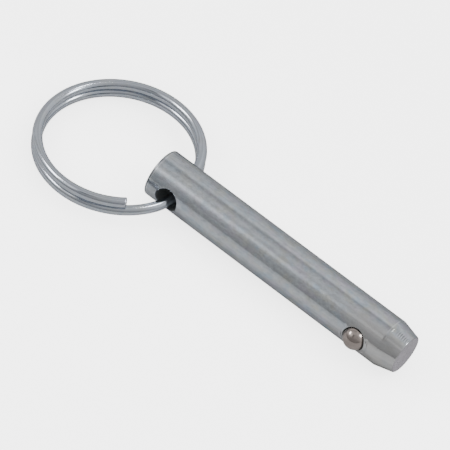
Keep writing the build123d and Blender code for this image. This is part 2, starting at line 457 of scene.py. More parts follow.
def chip(angle):
    """How far the chips take the ring hole's rim out at this turn."""
    depth = 0.0
    for middle, width, deepest in RIM_CHIPS:
        off = math.remainder(angle - math.radians(middle), FULL_TURN)
        depth += deepest * smooth_step(1 - abs(off) / math.radians(width))
    return depth


def cut_ring_hole(mesh, grid, mouths):
    """The through hole: a rough broken edge at both mouths and a straight wall between them."""
    sizes = mesh.sizes
    hole, edge = sizes.ring_hole_radius, sizes.ring_hole_edge
    layers, edge_steps, wall_steps = 12, 5, 10
    waves, fine_waves, fine_share = 4, 4, 0.6
    rims = []
    for number, mouth in enumerate(mouths):
        loop, turns = patch_loops(mouth, grid, hole + edge, layers)
        for step in range(1, edge_steps + 1):
            slope = math.pi / 2 * step / edge_steps
            points = []
            for angle in turns:
                spot = Vector((math.cos(angle), math.sin(angle), number)) * waves
                wander = noise.noise(spot) + fine_share * noise.noise(spot * fine_waves)
                wander *= sizes.edge_roughness * math.sin(slope)
                wander += chip(angle) * math.sin(slope) if number == 0 else 0.0
                radius = hole + edge * (1 - math.sin(slope)) + wander * math.cos(slope / 2)
                depth = edge * (1 - math.cos(slope)) + max(wander, 0)
                points.append(mouth.below_surface(radius, angle, depth))
            loop = mesh.add_loop(loop, points)
        rims.append((mouth, loop, turns))
    (near, near_loop, turns), (far, far_loop, _) = rims
    far_places = dict(zip(far.edge(), far_loop))
    opposite = [far_places[(row, near.columns - offset)] for row, offset in near.edge()]
    ends = [
        (Vector(mesh.points[start]), Vector(mesh.points[end]))
        for start, end in zip(near_loop, opposite)
    ]
    loop = near_loop
    for step in range(1, wall_steps):
        heights = [start.lerp(end, step / wall_steps).dot(near.way) for start, end in ends]
        wall = [near.at_height(hole, angle, height) for angle, height in zip(turns, heights)]
        loop = mesh.add_loop(loop, wall)
    mesh.faces += strip(loop, opposite)


def cut_ball_bore(mesh, grid, mouth):
    """The blind bore: two stakes press its rim over the ball, fore and aft, and mark the bar."""
    sizes = mesh.sizes
    bore, edge, play = BALL_RADIUS + sizes.ball_clearance, sizes.bore_edge, sizes.stake_play
    tip_radius = BALL_RADIUS * math.cos(sizes.stake_contact)
    tip_height = BALL_CENTRE.dot(mouth.way) + (BALL_RADIUS + play) * math.sin(sizes.stake_contact)
    lip_depth = BAR_RADIUS - tip_height - play
    layers, wall_depths = 18, (0.0014, 0.003, 0.0055)
    lip_bottom, rim_bottom = BAR_RADIUS - 0.0004, BAR_RADIUS - 0.0006

    def staked(angle):
        """1 where a stake presses the rim in, fading to 0 at its ends."""
        off = abs(math.remainder(angle, math.pi))
        return smooth_step(((sizes.stake_spread + sizes.stake_fade) / 2 - off) / sizes.stake_fade)

    def sink(spot):
        """Depth of the stake marks at a spot of the surface."""
        off = (spot.length - bore - sizes.stake_offset) / sizes.stake_width
        pressed = staked(math.atan2(spot.y, spot.x))
        return sizes.stake_depth * pressed * smooth_step(1 - abs(off))

    loop, turns = patch_loops(mouth, grid, bore + edge, layers, sink)
    # Each loop's radius and level, where the rim is plain and where a stake presses it in.
    plain_rim = ((bore + edge * 0.3, edge * 0.3), (bore, edge), (bore, 2 * edge))
    lip = ((bore - edge, edge), (bore - 3 * edge, 3 * edge), (bore - 5 * edge, 6 * edge))
    loops = [
        (mouth.below_surface, plain, (radius, min(depth, lip_depth)))
        for plain, (radius, depth) in zip(plain_rim, lip)
    ]
    loops.append((mouth.at_height, (bore, rim_bottom), (tip_radius + 2 * play, lip_bottom)))
    walls = [(bore, BAR_RADIUS - depth) for depth in wall_depths]
    loops += [(mouth.at_height, wall, wall) for wall in walls]
    for place_at, plain, pressed in loops:
        points = []
        for angle in turns:
            part = staked(angle)
            radius, level = (start + (end - start) * part for start, end in zip(plain, pressed))
            points.append(place_at(radius, angle, level))
        loop = mesh.add_loop(loop, points)
    bottom = -sizes.bore_depth
    loop = mesh.add_loop(loop, [mouth.at_height(bore, angle, bottom) for angle in turns])
    mesh.add_fan(loop, mouth.at_height(0, 0, bottom - sizes.drill_point))


def bar_mesh(sizes):
    """The whole bar: a turned grid of faces with windows for the three mouths."""
    around, step = sizes.around, sizes.station_step
    hole_half, hole_cells, hole_columns = 0.0044, 14, round(around * 0.235)
    bore_half, bore_cells, bore_columns = 0.0052, 16, around // 4
    knee_reach = sizes.taper_knee * math.tan(sizes.taper_angle / 2)
    stretches = (
        (RING_HOLE_X - hole_half, step / 2),
        (RING_HOLE_X + hole_half, 2 * hole_half / hole_cells),
        (BALL_CENTRE.x - bore_half, step),
        (BALL_CENTRE.x + bore_half, 2 * bore_half / bore_cells),
        (nose_measures(sizes)[0] - knee_reach, step / 3),
    )
    stations = [HEAD_X + sizes.head_edge]
    for end, cell in stretches:
        stations += spaced(stations[-1], end, cell)[1:]
    outline = bar_outline(sizes, stations[1:-1])
    mesh = BarMesh(sizes)
    grid = [
        [
            mesh.add_point((place.x, place.y * math.cos(angle), place.y * math.sin(angle)))
            for angle in circle(around)
        ]
        for place in outline
    ]

    def row_at(x):
        rows = [row for row, place in enumerate(outline) if place.y > BAR_RADIUS - 1e-7]
        return min(rows, key=lambda row: abs(outline[row].x - x))

    def mouth(centre_x, way, half, columns):
        middle = round(math.atan2(way.z, way.y) / FULL_TURN * around)
        rows = row_at(centre_x - half), row_at(centre_x + half)
        return Mouth(mesh, centre_x, way, rows, (middle - columns // 2) % around, columns)

    front = mouth(RING_HOLE_X, Vector((0, -1, 0)), hole_half, hole_columns)
    back = mouth(RING_HOLE_X, Vector((0, 1, 0)), hole_half, hole_columns)
    bore = mouth(BALL_CENTRE.x, BALL_WAY, bore_half, bore_columns)
    for row, (loop, following) in enumerate(zip(grid, grid[1:])):
        for column in range(around):
            if any(window.covers(row, column) for window in (front, back, bore)):
                continue
            beside = (column + 1) % around
            face = (loop[column], loop[beside], following[beside], following[column])
            mesh.faces.append(face)
    cut_ring_hole(mesh, grid, (front, back))
    cut_ball_bore(mesh, grid, bore)
    mesh.add_fan(grid[0], (HEAD_X, 0, 0))
    mesh.add_fan(grid[-1][::-1], (NOSE_X, 0, 0))
    used = sorted({index for face in mesh.faces for index in face})
    renumbered = {index: number for number, index in enumerate(used)}
    faces = [tuple(renumbered[index] for index in face) for face in mesh.faces]
    return [mesh.points[index] for index in used], faces


def ring_measures(sizes):
    """The radius of the wire's centre line, and half the distance between its two turns."""
    return (
        (sizes.inside_diameter + sizes.wire_diameter) / 2,
        (sizes.wire_diameter + sizes.turn_gap) / 2,
    )


def half_bend(lean, ring_radius, half):
    """Half of the offset bend when its plane leans by this angle: radius, sweep and drop."""
    sweep = math.atan2(math.sin(half), math.cos(half) * math.cos(lean))
    run = math.sin(sweep) * math.cos(half)
    run += (1 - math.cos(sweep)) * math.cos(lean) * math.sin(half)
    radius = ring_radius * math.sin(half) / run
    return radius, sweep, radius * (1 - math.cos(sweep)) * math.sin(lean)


def ring_line(sizes):
    """The wire's centre line in the ring's own plane: (point, heading) pairs, end to end."""
    radius, offset = ring_measures(sizes)
    half = sizes.bend_half_angle
    low, high = 0.0, math.radians(89)
    while high - low > 1e-9:
        lean = (low + high) / 2
        if half_bend(lean, radius, half)[2] < offset:
            low = lean
        else:
            high = lean
    bend_radius, bend_sweep, _ = half_bend(lean, radius, half)
    line = []

    def out(angle):
        return Vector((math.cos(angle), math.sin(angle), 0))

    def clockwise(angle):
        return Vector((math.sin(angle), -math.cos(angle), 0))

    def follow(start, heading, inward, bend, sweep, with_end=False):
        """Adds an arc that bends inward. Gives the point, heading and inward way at its end."""
        count = max(2, math.ceil(sweep / sizes.step))
        for index in range(count + 1):
            angle = sweep * index / count
            point = start + heading * (bend * math.sin(angle))
            point += inward * (bend * (1 - math.cos(angle)))
            ahead = heading * math.cos(angle) + inward * math.sin(angle)
            if index < count or with_end:
                line.append((point, ahead))
        return point, ahead, inward * math.cos(angle) - heading * math.sin(angle)

    first, last = sizes.bend_centre + half, sizes.bend_centre - half
    start, end = sizes.upper_end, sizes.lower_end
    upper, lower = UP * offset, -UP * offset
    sweep = FULL_TURN + start - first
    follow(out(start) * radius + upper, clockwise(start), -out(start), radius, sweep)
    leaning = -out(first) * math.cos(lean) - UP * math.sin(lean)
    middle, heading, inward = follow(
        out(first) * radius + upper, clockwise(first), leaning, bend_radius, bend_sweep
    )
    middle_out = out(sizes.bend_centre)
    inward = middle_out * (2 * middle_out.dot(inward)) - inward
    follow(middle, heading, inward, bend_radius, bend_sweep)
    sweep = FULL_TURN - end + last
    follow(out(last) * radius + lower, clockwise(last), -out(last), radius, sweep, True)
    return line


def ring_place(sizes):
    """Where the ring lies: low in its hole, with its far side on the floor."""
    radius, offset = ring_measures(sizes)
    wire = sizes.wire_diameter / 2
    half_sagitta = (radius - math.sqrt(radius**2 - BAR_RADIUS**2)) / 2
    mouth_offset = half_sagitta + sizes.shift + BAR_RADIUS * math.sin(abs(sizes.turned))
    strand_room = bpy.context.scene.hitch_pin_bar.ring_hole_radius - wire - sizes.seat_gap
    height = offset - math.sqrt(strand_room**2 - mouth_offset**2)
    drop = height - wire - FLOOR_HEIGHT - sizes.floor_gap
    tilt = math.asin(drop / math.hypot(2 * radius, offset)) - math.atan2(offset, 2 * radius)
    hole = Matrix.Translation((RING_HOLE_X, 0, height)) @ Matrix.Rotation(sizes.turned, 4, "Z")
    near_side = hole @ Matrix.Translation((half_sagitta - sizes.shift, 0, 0))
    return near_side @ Matrix.Rotation(-tilt, 4, "Y") @ Matrix.Translation((-radius, 0, 0))


def ring_mesh(sizes):
    """The ring's wire, with sheared ends, and its map: along and round the wire, in metres."""
    line, place = ring_line(sizes), ring_place(sizes)
    wire, reach = sizes.wire_diameter / 2, sizes.end_reach
    # The shape of a sheared end, in parts of the wire's radius.
    notch_middle, notch_half, lip_from, face_parts = -0.1, 0.8, 0.8, (0.93, 0.7, 0.4)
    grains_per_metre = 2200
    points, faces, maps = [], [], []
    travelled = [0.0]
    for (before, _), (after, _) in zip(line, line[1:]):
        travelled.append(travelled[-1] + (after - before).length)
    last = len(line) - 1

    def shear(height, aside, way_in):
        """How far back the shears leave this spot of the wire's section."""
        level = height / wire
        notch = sizes.notch_depth * (1 - smooth_step(abs(level - notch_middle) / notch_half))
        lip = -sizes.burr * smooth_step((level - lip_from) / (1 - lip_from))
        spot = Vector((height, aside, way_in)) * grains_per_metre
        return notch + lip + sizes.end_roughness * noise.noise(spot)

    def add_point(row, spot, angle):
        points.append(place @ spot)
        maps.append((travelled[row], wire * angle))
        return len(points) - 1

    def add_loop(row, part, set_back):
        """A loop round the wire, at a part of its radius, each point set back along the wire."""
        point, heading = line[row]
        side = heading.cross(UP).normalized()
        rise = side.cross(heading)
        loop = []
        for angle in circle(sizes.around):
            across, height = part * wire * math.cos(angle), part * wire * math.sin(angle)
            spot = point + side * across + rise * height
            loop.append(add_point(row, spot + heading * set_back(height, across), angle))
        return loop

    def near_ends(row):
        """How far the shears at both ends set a point back in this row."""
        start = smooth_step(1 - travelled[row] / reach)
        end = smooth_step(1 - (travelled[last] - travelled[row]) / reach)
        return lambda height, aside: (
            shear(height, aside, 0) * start - shear(height, aside, 1) * end
        )

    rows = [add_loop(row, 1, near_ends(row)) for row in range(last + 1)]
    for loop, following in zip(rows, rows[1:]):
        faces += strip(loop, following)
    for row, back in ((0, 1), (last, -1)):
        loop = rows[row]
        for part in face_parts:
            inner = add_loop(row, part, lambda height, aside: back * shear(height, aside, row))
            for index in range(sizes.around):
                quad = (loop[index - 1], loop[index], inner[index], inner[index - 1])
                faces.append(quad[::back])
            loop = inner
        point, heading = line[row]
        middle = add_point(row, point + heading * (back * shear(0, 0, row)), 0.0)
        faces += [(loop[index - 1], loop[index], middle)[::back] for index in range(len(loop))]
    return points, faces, maps


def ball_mesh(divisions_across):
    """The ball, as a cube of square faces blown up to a sphere."""
    points, faces, found = [], [], {}

    def point_at(spot):
        key = tuple(round(value * divisions_across) for value in spot)
        if key not in found:
            found[key] = len(points)
            even = Vector([math.tan(value * math.pi / 4) for value in spot])
            points.append(BALL_CENTRE + even.normalized() * BALL_RADIUS)
        return found[key]

    ticks = [2 * step / divisions_across - 1 for step in range(divisions_across + 1)]
    cells = list(zip(ticks, ticks[1:]))
    for axis in range(3):
        for side in (-1, 1):
            for a, next_a in cells:
                for b, next_b in cells:
                    corners = []
                    for corner in ((a, b), (next_a, b), (next_a, next_b), (a, next_b)):
                        spot = [0, 0, 0]
                        spot[axis] = side
                        spot[(axis + 1) % 3], spot[(axis + 2) % 3] = corner
                        corners.append(point_at(spot))
                    faces.append(tuple(corners[::side]))
    return points, faces


FLOAT, VECTOR, COLOUR = "NodeSocketFloat", "NodeSocketVector", "NodeSocketColor"


class NodeBench:
    """Places and links the nodes of one tree."""

    def __init__(self, tree):
        self.tree = tree
        self.tree.nodes.clear()

    def feed(self, socket, value):
        """Links a socket or sets its value. A colour gets its alpha here."""
        if isinstance(value, bpy.types.NodeSocket):
            self.tree.links.new(value, socket)
        elif socket.type == "RGBA":
            socket.default_value = (*value, 1.0)
        else:
            socket.default_value = value

    def node(self, kind, *values, **settings):
        """A node with these settings, and these values or links in its first inputs."""
        made = self.tree.nodes.new(kind)
        columns, width, height = 12, 180, 220
        row, column = divmod(len(self.tree.nodes), columns)
        made.location = (width * column, -height * row)
        for name, value in settings.items():
            setattr(made, name, value)
        for socket, value in zip(made.inputs, values):
            self.feed(socket, value)
        return made

    def fill(self, node, **values):
        """Feeds a node's inputs by name, with _ for a space, and gives its outputs."""
        for name, value in values.items():
            self.feed(node.inputs[name.replace("_", " ")], value)
        return node.outputs

    def group(self, name, make):
        """Places a node group, which is made the first time."""
        return self.node("ShaderNodeGroup", node_tree=bpy.data.node_groups.get(name) or make())

    def maths(self, operation, *values, clamp=False):
        made = self.node("ShaderNodeMath", *values, operation=operation, use_clamp=clamp)
        return made.outputs[0]

    def times(self, first, second):
        return self.maths("MULTIPLY", first, second)

    def most(self, first, second):
        """The greater of both."""
        return self.maths("MAXIMUM", first, second)

    def scaled(self, value, factor, added):
        """A value times a factor, with a number added."""
        return self.maths("MULTIPLY_ADD", value, factor, added)

    def vectors(self, operation, *values):
        made = self.node("ShaderNodeVectorMath", *values, operation=operation)
        is_number = operation in ("LENGTH", "DOT_PRODUCT")
        return made.outputs["Value" if is_number else "Vector"]

    def stretch(self, place, scale):
        return self.vectors("MULTIPLY", place, scale)

    def blend(self, factor, first, second, mode="MIX"):
        """A colour that goes from the first to the second by the factor."""
        made = self.node("ShaderNodeMix", factor, data_type="RGBA", blend_type=mode)
        self.feed(made.inputs[6], first)
        self.feed(made.inputs[7], second)
        return made.outputs[2]

    def grain(self, place, scale, detail=3.0, roughness=0.55):
        made = self.node("ShaderNodeTexNoise")
        return self.fill(
            made, Vector=place, Scale=scale, Detail=detail, Roughness=roughness
        )["Fac"]

    def ramp(self, value, low, high, shape="SMOOTHSTEP"):
        """0 at low and 1 at high, smoothly or in a straight line."""
        made = self.node("ShaderNodeMapRange", value, low, high, interpolation_type=shape)
        return made.outputs["Result"]

    def window(self, value, low, high, soft):
        """1 between low and high and 0 outside, with soft edges."""
        rise = self.ramp(value, low - soft, low + soft)
        return self.times(rise, self.ramp(value, high + soft, high - soft))


class MaterialBench(NodeBench):
    """The nodes of a new material, round its Principled BSDF."""

    def __init__(self, name, **values):
        self.material = bpy.data.materials.new(name)
        self.material.use_nodes = True
        super().__init__(self.material.node_tree)
        self.shader = self.node("ShaderNodeBsdfPrincipled")
        self.output = self.node("ShaderNodeOutputMaterial", self.shader.outputs[0])
        self.coordinates = self.node("ShaderNodeTexCoord").outputs
        self.place = self.coordinates["Object"]
        self.surface(**values)

    def surface(self, **values):
        """Feeds the shader by name."""
        self.fill(self.shader, **values)

    def bump(self, height, distance):
        """Feeds the shader's normal from a height, with the height's full swing in metres."""
        made = self.fill(self.node("ShaderNodeBump"), Height=height, Distance=distance)
        self.surface(Normal=made["Normal"])

    def inside_round(self, centre, way, radius, soft):
        """1 inside a round hole through centre along way, and 0 outside its radius."""
        offset = self.vectors("SUBTRACT", self.place, centre)
        distance = self.vectors("LENGTH", self.vectors("CROSS_PRODUCT", offset, way))
        return self.ramp(distance, radius + soft, radius - soft)

    def lines(self, place, length_scale, width_scale):
        """Drawn lines, and broader bands, with this many grains to the metre each way."""
        made = self.group("drawn_lines", drawn_lines_group)
        return self.fill(made, Place=place, Length_scale=length_scale, Width_scale=width_scale)

    def film(self, plate, colours, place, patch_scale, strength, mottle):
        """The colour of a plate with the passive film on it."""
        return self.fill(
            self.group("plated_film", plated_film_group),
            Place=place,
            Patch_scale=patch_scale,
            Plate=plate,
            Blue=colours.zinc_blue,
            Straw=colours.zinc_straw,
            Violet=colours.zinc_violet,
            Strength=strength,
            Mottle=mottle,
        )["Color"]


def group_tree(name, inputs, output_names, output_kind):
    """An empty node group. Each of its inputs is a socket's kind, or a number that it starts at."""
    tree = bpy.data.node_groups.new(name, "ShaderNodeTree")
    for label, given in inputs.items():
        kind = given if isinstance(given, str) else FLOAT
        socket = tree.interface.new_socket(name=label, in_out="INPUT", socket_type=kind)
        if kind == FLOAT:
            socket.default_value = given
    for label in output_names:
        tree.interface.new_socket(name=label, in_out="OUTPUT", socket_type=output_kind)
    bench = NodeBench(tree)
    return bench, bench.node("NodeGroupInput").outputs, bench.node("NodeGroupOutput")


def plated_film_group():
    """Thin passive film on zinc: patches of blue, straw and violet that drift over the metal."""
    inputs = {
        "Place": VECTOR,
        "Patch scale": 90.0,
        "Plate": COLOUR,
        "Blue": COLOUR,
        "Straw": COLOUR,
        "Violet": COLOUR,
        "Strength": 0.6,
        "Mottle scale": 750.0,
        "Mottle": 0.9,
    }
    bench, given, result = group_tree("plated_film", inputs, ["Color"], COLOUR)
    patch_low, patch_high = 0.47, 0.66
    mixed = given["Plate"]
    for tint, shift in (("Blue", 0.0), ("Straw", 0.37), ("Violet", 0.81)):
        moved = bench.vectors("ADD", given["Place"], (shift, -shift, 2 * shift))
        cloud = bench.grain(moved, given["Patch scale"], 2.5, 0.5)
        patches = bench.times(bench.ramp(cloud, patch_low, patch_high), given["Strength"])
        mixed = bench.blend(patches, mixed, given[tint])
    mottle = bench.grain(given["Place"], given["Mottle scale"], 4.0, 0.95)
    swing = bench.scaled(bench.maths("SUBTRACT", mottle, 0.5), given["Mottle"], 1.0)
    bench.fill(result, Color=bench.blend(1.0, mixed, swing, "MULTIPLY"))
    return bench.tree


def drawn_lines_group():
    """Fine lines left by drawing or polishing, along the first axis of the place given."""
    # The bands are the same grain at this part of the lines' scale.
    band_scale = 0.18
    inputs = {"Place": VECTOR, "Length scale": 40.0, "Width scale": 3000.0}
    bench, given, result = group_tree("drawn_lines", inputs, ["Lines", "Bands"], FLOAT)
    for name, factor in (("Lines", 1.0), ("Bands", band_scale)):
        length = bench.times(given["Length scale"], factor)
        width = bench.times(given["Width scale"], factor)
        scale = bench.node("ShaderNodeCombineXYZ", length, width, width).outputs[0]
        grain = bench.grain(bench.stretch(given["Place"], scale), 1.0, 4.0, 0.6)
        bench.fill(result, **{name: grain})
    return bench.tree


def taper_marks(bench, along, around, sizes):
    """Masks of the painted highlight on the turned line where the taper starts, and of the cutter's
    chatter, which gets painted glints and painted shade as well as relief.
    """
    taper_x, _ = nose_measures(sizes)
    line_start, line_width, line_blur = taper_x - 0.0004, 0.00016, 0.00009
    line_from, line_to = math.radians(60), math.radians(112)
    # Painted highlight on the turned line, over part of the way round the bar.
    line = bench.window(along, line_start, line_start + line_width, line_blur)
    line = bench.times(line, bench.window(around, line_from, line_to, 0.1))
    # Chatter strokes over a narrow swath round the taper: real relief, with painted glints and
    # painted shade in the colour.
    spacing, wander, wander_scale = 0.00055, 5.0, 900.0
    swath_from, swath_to = math.radians(90), math.radians(103)
    unrolled = bench.node("ShaderNodeCombineXYZ", along, bench.times(around, BAR_RADIUS))
    drift = bench.times(bench.grain(unrolled.outputs[0], wander_scale), wander)
    strokes = bench.maths("SINE", bench.scaled(along, FULL_TURN / spacing, drift))
    reach = bench.window(along, taper_x + 0.0016, NOSE_X - 0.0002, 0.0004)
    swath = bench.window(around, swath_from, swath_to, 0.06)
    return line, bench.times(bench.times(reach, swath), strokes)


def edge_marks(bench, along, off_axis, sizes):
    """Masks of the painted shade along the head's and the nose's edge, and of the painted highlight
    just inside the head's edge.
    """
    edge_shade_from, edge_shade_to = HEAD_X + 0.00055, HEAD_X + 0.0004
    bright_from, bright_to = HEAD_X + 0.00065, HEAD_X + 0.00085
    rim_width, rim_blur = 0.00012, 0.00006
    # Painted shade at the head's edge, and a painted highlight just inside it.
    head = bench.ramp(along, edge_shade_from, edge_shade_to)
    bright = bench.window(along, bright_from, bright_to, 0.0001)
    # Painted shade round the rim of the nose face.
    rim = nose_measures(sizes)[1] - rim_width
    nose = bench.window(off_axis, rim - rim_width, rim + rim_blur, rim_blur)
    nose = bench.times(nose, bench.ramp(along, NOSE_X - 0.0004, NOSE_X - 0.0002))
    return bench.most(head, nose), bright


def dark_holes(bench, off_axis, sizes):
    """Mask of the drilled walls and of the broken edge round the ring hole, both darkened as
    painted shade.
    """
    hole = sizes.ring_hole_radius
    bore = BALL_RADIUS + sizes.ball_clearance
    rim_shade_width, rim_shade_from, rim_shade_to = 0.0005, BAR_RADIUS - 0.00006, BAR_RADIUS - 0.00016
    bottom, bottom_blur = -0.004, 0.001

    def in_ring_hole(radius, blur):
        return bench.inside_round((RING_HOLE_X, 0, 0), (0, 1, 0), radius, blur)

    ball_bore = bench.inside_round(tuple(BALL_CENTRE), tuple(BALL_WAY), bore, 0.00003)
    height = bench.vectors("DOT_PRODUCT", bench.place, tuple(BALL_WAY))
    ball_bore = bench.times(ball_bore, bench.ramp(height, bottom, bottom + bottom_blur))
    # Painted shade on the broken edge round the ring hole's mouths.
    rim_shade = bench.ramp(off_axis, rim_shade_from, rim_shade_to)
    rim_shade = bench.times(rim_shade, in_ring_hole(hole + rim_shade_width, 0.0001))
    walls = bench.most(in_ring_hole(hole, 0.00005), ball_bore)
    return bench.most(walls, bench.times(rim_shade, MARKS["torn rim"]))


def bar_material(colours, sizes):
    """Bright zinc over drawn bar, with turned marks on the taper, painted highlights and painted
    shade on its edges and marks, a nose face brightened as painted light, and drilled holes
    darkened as painted shade.
    """
    bench = MaterialBench("bright_zinc_plate")
    place = bench.place
    split = bench.node("ShaderNodeSeparateXYZ", place).outputs
    along, beside = split["X"], split["Y"]
    around = bench.maths("ARCTAN2", split["Z"], beside)
    off_axis = bench.vectors("LENGTH", bench.stretch(place, (0, 1, 1)))
    taper_x, _ = nose_measures(sizes)
    on_taper = bench.ramp(along, taper_x - 0.0001, taper_x + 0.0001)
    on_face = bench.ramp(along, NOSE_X - 0.00012, NOSE_X - 0.00004)
    drawn = bench.lines(place, 25.0, 2600.0)
    turned = bench.lines(bench.stretch(place, (40, 0.02, 0.02)), 120.0, 2000.0)
    sawn = bench.lines(bench.stretch(place, (1, 1, 0.25)), 10.0, 2200.0)
    line, chatter = taper_marks(bench, along, around, sizes)
    painted_edge_shade, head_highlight = edge_marks(bench, along, off_axis, sizes)
    dark = dark_holes(bench, off_axis, sizes)

    film_at_head, film_at_nose = 0.4, 0.85
    strength = bench.ramp(along, HEAD_X, NOSE_X - 0.02, "LINEAR")
    strength = bench.scaled(strength, film_at_nose - film_at_head, film_at_head)
    film_place = bench.stretch(place, (0.65, 1, 1))
    shade = bench.film(colours.zinc, colours, film_place, 420.0, strength, 1.05)
    worn = bench.ramp(beside, -0.15 * BAR_RADIUS, -0.55 * BAR_RADIUS)
    worn = bench.times(worn, bench.ramp(along, NOSE_X - 0.022, NOSE_X - 0.009))
    bands = bench.ramp(drawn["Bands"], 0.25, 0.75)
    saw_lines = bench.ramp(sawn["Lines"], 0.25, 0.75)
    # The nose face: its saw lines over a colour brightened as painted light.
    face = bench.blend(MARKS["saw lines"], colours.nose_face, saw_lines, "OVERLAY")
    # Painted highlights on the taper's turned line, just inside the head's edge and on the chatter
    # strokes.
    bright = bench.most(
        bench.times(line, MARKS["turned line"]), bench.times(head_highlight, MARKS["head line"])
    )
    bright = bench.most(bright, bench.times(chatter, MARKS["bright stroke"]))
    # Painted shade on the dull chatter strokes.
    dull = bench.maths("MULTIPLY", chatter, -MARKS["dull stroke"], clamp=True)
    shade = bench.blend(bench.times(worn, MARKS["worn film"]), shade, colours.zinc_warm)
    shade = bench.blend(MARKS["bands"], shade, bands, "OVERLAY")
    shade = bench.blend(bright, shade, colours.painted_highlight)
    shade = bench.blend(dull, shade, colours.painted_stroke_shade)
    shade = bench.blend(on_face, shade, face)
    # Painted shade along the edges of both ends.
    shade = bench.blend(bench.times(painted_edge_shade, MARKS["worn edge"]), shade, colours.painted_edge_shade)

    rough = bench.scaled(drawn["Bands"], 0.12, colours.zinc_roughness - 0.06)
    for mask, change in ((on_taper, -0.05), (dark, 0.4), (on_face, 0.15)):
        rough = bench.scaled(mask, change, rough)
    streaks = bench.node("ShaderNodeMix", on_taper, data_type="FLOAT")
    bench.feed(streaks.inputs[2], drawn["Lines"])
    bench.feed(streaks.inputs[3], turned["Lines"])
    # The drilled walls and the ring hole's broken rim are painted dark and less metallic, as
    # painted shade.
    bench.surface(
        Base_Color=bench.blend(dark, shade, colours.bore),
        Metallic=bench.scaled(dark, -0.8, 1.0),
        Roughness=rough,
        Specular_Tint=[colours.zinc_edge] * 3,
    )
    bench.bump(bench.scaled(chatter, 0.8, streaks.outputs[0]), 0.000006)
    return bench.material


def wire_material(colours):
    """Bright zinc over round wire, with fine lines along it."""
    bench = MaterialBench("bright_zinc_wire", Metallic=1.0)
    drawn = bench.lines(bench.coordinates["UV"], 30.0, 3000.0)
    bench.surface(
        Base_Color=bench.film(colours.wire, colours, bench.place, 300.0, 0.25, 0.2),
        Roughness=bench.scaled(drawn["Bands"], 0.06, 0.13),
        Specular_Tint=[colours.wire_edge] * 3,
    )
    bench.bump(drawn["Lines"], 0.0000004)
    return bench.material


def ball_material(colours):
    """Polished ball steel, with lapping marks too fine to see one by one."""
    bench = MaterialBench("polished_ball_steel", Metallic=1.0)
    lapped = bench.lines(bench.place, 900.0, 1400.0)
    bands = bench.ramp(lapped["Bands"], 0.3, 0.7)
    bench.surface(
        Base_Color=bench.blend(0.12, colours.ball, bands, "OVERLAY"),
        Roughness=bench.scaled(lapped["Bands"], 0.1, 0.13),
    )
    bench.bump(lapped["Lines"], 0.000002)
    return bench.material


def spring_material(colours):
    """Plain drawn spring wire."""
    bench = MaterialBench("plain_spring_wire", Metallic=1.0, Roughness=0.35)
    drawn = bench.lines(bench.place, 800.0, 2200.0)
    bands = bench.ramp(drawn["Bands"], 0.3, 0.7)
    bench.surface(Base_Color=bench.blend(0.2, colours.spring, bands, "OVERLAY"))
    bench.bump(drawn["Lines"], 0.000003)
    return bench.material


class HITCHPIN_OT_bar(Operator):
    """Builds the plated bar with its ring hole, staked ball bore and tapered nose"""

    bl_idname = "hitch_pin.bar"
    bl_label = "Bar"

    def execute(self, context):
        sizes = context.scene.hitch_pin_bar
        points, faces = bar_mesh(sizes)
        material = bar_material(context.scene.hitch_pin_colours, sizes)
        new_piece("plated_bar", points, faces, material, "pin", ["pin_body"])
        return {"FINISHED"}


class HITCHPIN_OT_ring(Operator):
    """Builds the two-turn split ring with its sheared ends"""

    bl_idname = "hitch_pin.ring"
    bl_label = "Split ring"

    def execute(self, context):
        points, faces, maps = ring_mesh(context.scene.hitch_pin_ring)
        material = wire_material(context.scene.hitch_pin_colours)
        piece = new_piece(
            "coiled_ring", points, faces, material, "ring", ["split_ring"]
        )
        layer = piece.data.uv_layers.new(name="along_wire")
        for loop in piece.data.loops:
            layer.data[loop.index].uv = maps[loop.vertex_index]
        return {"FINISHED"}


class HITCHPIN_OT_ball(Operator):
    """Builds the polished detent ball"""

    bl_idname = "hitch_pin.ball"
    bl_label = "Detent ball"

    def execute(self, context):
        points, faces = ball_mesh(divisions_across=40)
        material = ball_material(context.scene.hitch_pin_colours)
        new_piece("polished_ball", points, faces, material, "ball", ["detent_ball"])
        return {"FINISHED"}


class HITCHPIN_OT_spring(Operator):
    """Gives the coil spring inside the bore its finish"""

    bl_idname = "hitch_pin.spring"
    bl_label = "Detent spring"

    def execute(self, context):
        coil = frame["nodes"]["detent_spring"]
        coil.data.materials.clear()
        coil.data.materials.append(spring_material(context.scene.hitch_pin_colours))
        return {"FINISHED"}


def standing(place, right, back):
    """A thing's place when its back is this way and its right side is nearest to the way given."""
    back = back.normalized()
    right = (right - back * right.dot(back)).normalized()
    turned = Matrix((right, back.cross(right), back)).transposed().to_4x4()
    return Matrix.Translation(place) @ turned


def strip_light(name, ends, target, width, brightness, spread):
    """A soft strip light between two ends that faces its target, with or without a grid on it."""
    length = (ends[1] - ends[0]).length
    data = bpy.data.lights.new(name, "AREA")
    data.shape = "RECTANGLE"
    data.size, data.size_y = length, width
    data.energy = brightness * math.pi * length * width
    if spread < NO_GRID:
        half = math.radians(spread) / 2
        data.spread = 2 * half
        data.energy *= 1 - half / math.tan(half)
    middle = (ends[0] + ends[1]) / 2
    new_object(name, data).matrix_world = standing(middle, ends[1] - ends[0], middle - target)


